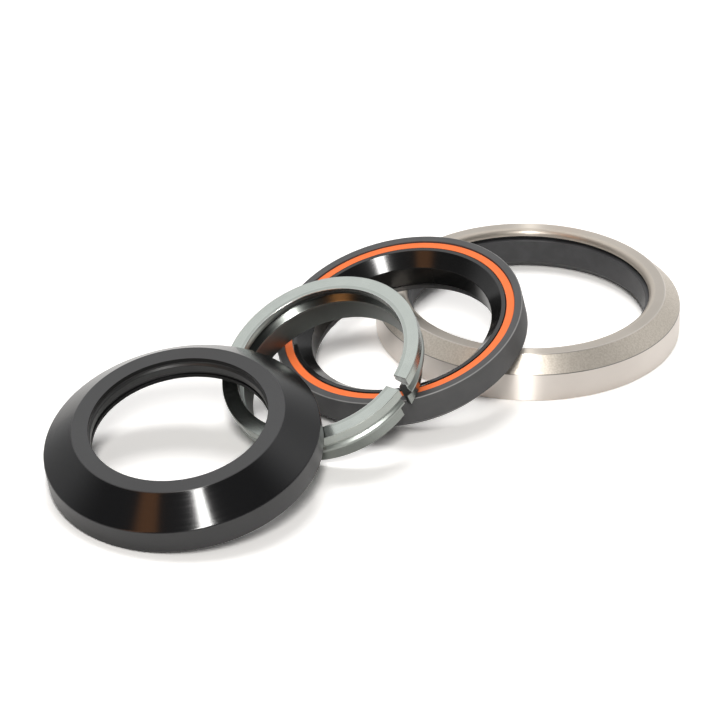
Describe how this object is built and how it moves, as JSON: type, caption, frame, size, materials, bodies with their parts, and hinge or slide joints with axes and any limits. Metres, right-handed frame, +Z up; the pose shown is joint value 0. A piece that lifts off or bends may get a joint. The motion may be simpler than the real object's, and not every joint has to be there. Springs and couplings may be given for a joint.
{
  "type": "bicycle headset",
  "caption": "Bicycle headset laid out as a set: black top cover, split compression ring, and upper and lower sealed cartridge bearings, each ring leaning on the next.",
  "frame": {"origin": "middle of the set's footprint on the table", "axes": "+X right, +Y back, +Z up, as the picture is seen"},
  "size_m": [0.103, 0.104, 0.0218],
  "materials": {
    "black_anodised": "satin black anodised",
    "grey_anodised": "grey-green hard anodised",
    "black_steel": "black oxide, satin",
    "bare_steel": "satin nickel",
    "dark_steel": "dark ground steel",
    "ball_steel": "polished",
    "orange_rubber": "matte",
    "black_rubber": "matte",
    "nylon": "moulded"
  },
  "bodies": {
    "laid_out_set": {"top_cover": "black_anodised", "cover_seal": "black_rubber", "compression_ring": "grey_anodised", "upper_outer_race": "black_steel", "upper_top_seal": "orange_rubber", "upper_bottom_seal": "black_rubber", "lower_outer_race": "bare_steel", "lower_top_seal": "black_rubber", "lower_bottom_seal": "black_rubber"},
    "upper_inner": {"upper_inner_race": "black_steel"},
    "upper_rolling": {"upper_ball_cage": "nylon", "upper_balls": "ball_steel"},
    "lower_inner": {"lower_inner_race": "dark_steel"},
    "lower_rolling": {"lower_ball_cage": "nylon", "lower_balls": "ball_steel"}
  },
  "joints": [
    {"name": "upper_spin", "type": "hinge", "parent": "laid_out_set", "child": "upper_inner", "pos_m": [0.00495, 0.00607, 0.00876], "axis": [-0.1965, -0.2028, 0.9593], "continuous": true},
    {"name": "upper_roll", "type": "hinge", "parent": "laid_out_set", "child": "upper_rolling", "pos_m": [0.00495, 0.00607, 0.00876], "axis": [-0.1965, -0.2028, 0.9593], "continuous": true},
    {"name": "lower_spin", "type": "hinge", "parent": "laid_out_set", "child": "lower_inner", "pos_m": [0.0256, 0.02607, 0.00375], "axis": [0, 0, 1], "continuous": true},
    {"name": "lower_roll", "type": "hinge", "parent": "laid_out_set", "child": "lower_rolling", "pos_m": [0.0256, 0.02607, 0.00375], "axis": [0, 0, 1], "continuous": true}
  ],
  "couplings": [
    {"joint": "upper_roll", "follows": "upper_spin", "ratio": 0.4686},
    {"joint": "lower_roll", "follows": "lower_spin", "ratio": 0.4753}
  ]
}
